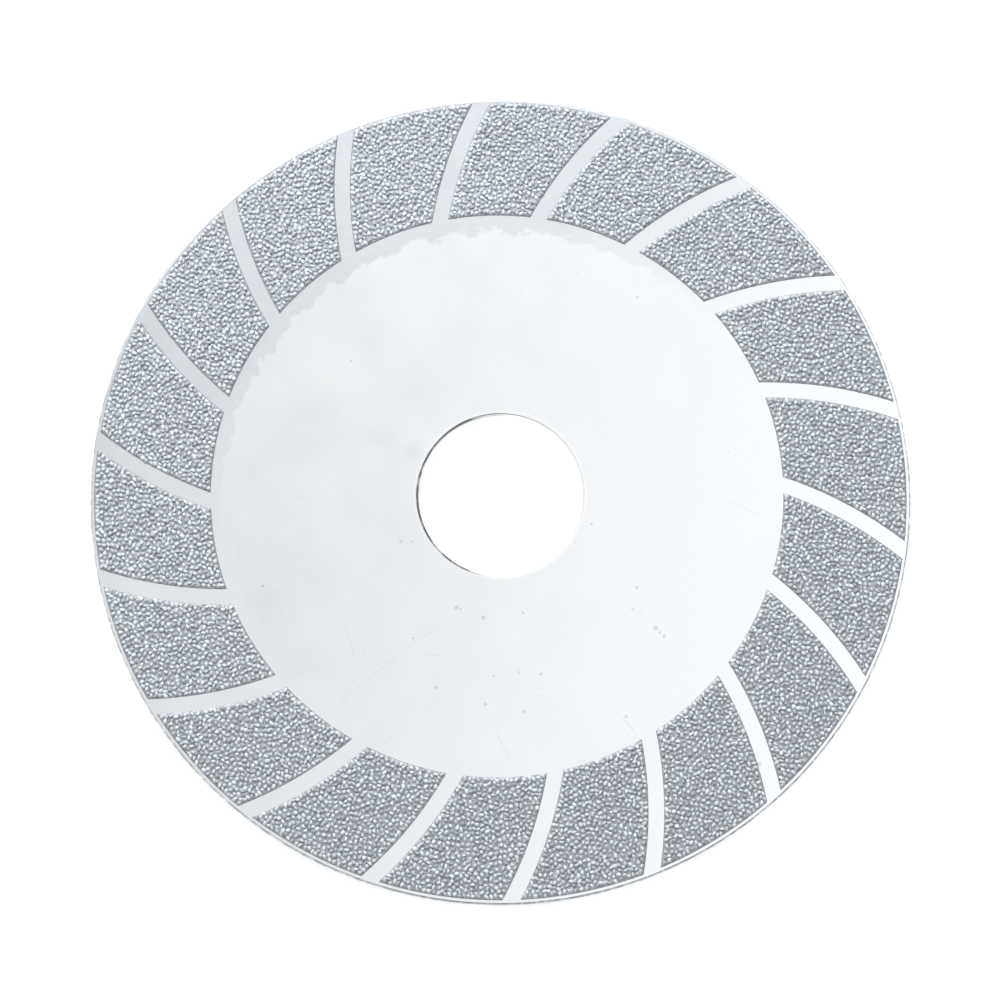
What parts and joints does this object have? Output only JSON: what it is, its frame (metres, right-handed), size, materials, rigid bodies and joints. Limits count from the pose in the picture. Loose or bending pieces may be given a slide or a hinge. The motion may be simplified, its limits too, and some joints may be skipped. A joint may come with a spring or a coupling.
{
  "type": "diamond grinding wheel",
  "caption": "Thin flat steel grinding wheel with a plain bore and a coarse diamond-coated band on both faces, divided by bare curved channels for coolant and swarf.",
  "frame": {"origin": "centre of the bore, halfway through the steel blank, which is also the centre of the whole wheel", "axes": "+Z along the spindle axis and out of the front face; +X and +Y in the plane of the wheel"},
  "size_m": [0.1, 0.1, 0.002],
  "materials": {
    "blank_steel": "bright satin steel, lightly scuffed",
    "diamond_nickel": "coarse diamond grit set in electroplated nickel"
  },
  "bodies": {
    "root": {"steel_blank": "blank_steel", "front_diamond_deposit_01": "diamond_nickel", "front_diamond_deposit_02": "diamond_nickel", "front_diamond_deposit_03": "diamond_nickel", "front_diamond_deposit_04": "diamond_nickel", "front_diamond_deposit_05": "diamond_nickel", "front_diamond_deposit_06": "diamond_nickel", "front_diamond_deposit_07": "diamond_nickel", "front_diamond_deposit_08": "diamond_nickel", "front_diamond_deposit_09": "diamond_nickel", "front_diamond_deposit_10": "diamond_nickel", "front_diamond_deposit_11": "diamond_nickel", "front_diamond_deposit_12": "diamond_nickel", "front_diamond_deposit_13": "diamond_nickel", "front_diamond_deposit_14": "diamond_nickel", "front_diamond_deposit_15": "diamond_nickel", "front_diamond_deposit_16": "diamond_nickel", "front_diamond_deposit_17": "diamond_nickel", "front_diamond_deposit_18": "diamond_nickel", "back_diamond_deposit_01": "diamond_nickel", "back_diamond_deposit_02": "diamond_nickel", "back_diamond_deposit_03": "diamond_nickel", "back_diamond_deposit_04": "diamond_nickel", "back_diamond_deposit_05": "diamond_nickel", "back_diamond_deposit_06": "diamond_nickel", "back_diamond_deposit_07": "diamond_nickel", "back_diamond_deposit_08": "diamond_nickel", "back_diamond_deposit_09": "diamond_nickel", "back_diamond_deposit_10": "diamond_nickel", "back_diamond_deposit_11": "diamond_nickel", "back_diamond_deposit_12": "diamond_nickel", "back_diamond_deposit_13": "diamond_nickel", "back_diamond_deposit_14": "diamond_nickel", "back_diamond_deposit_15": "diamond_nickel", "back_diamond_deposit_16": "diamond_nickel", "back_diamond_deposit_17": "diamond_nickel", "back_diamond_deposit_18": "diamond_nickel"}
  },
  "joints": []
}
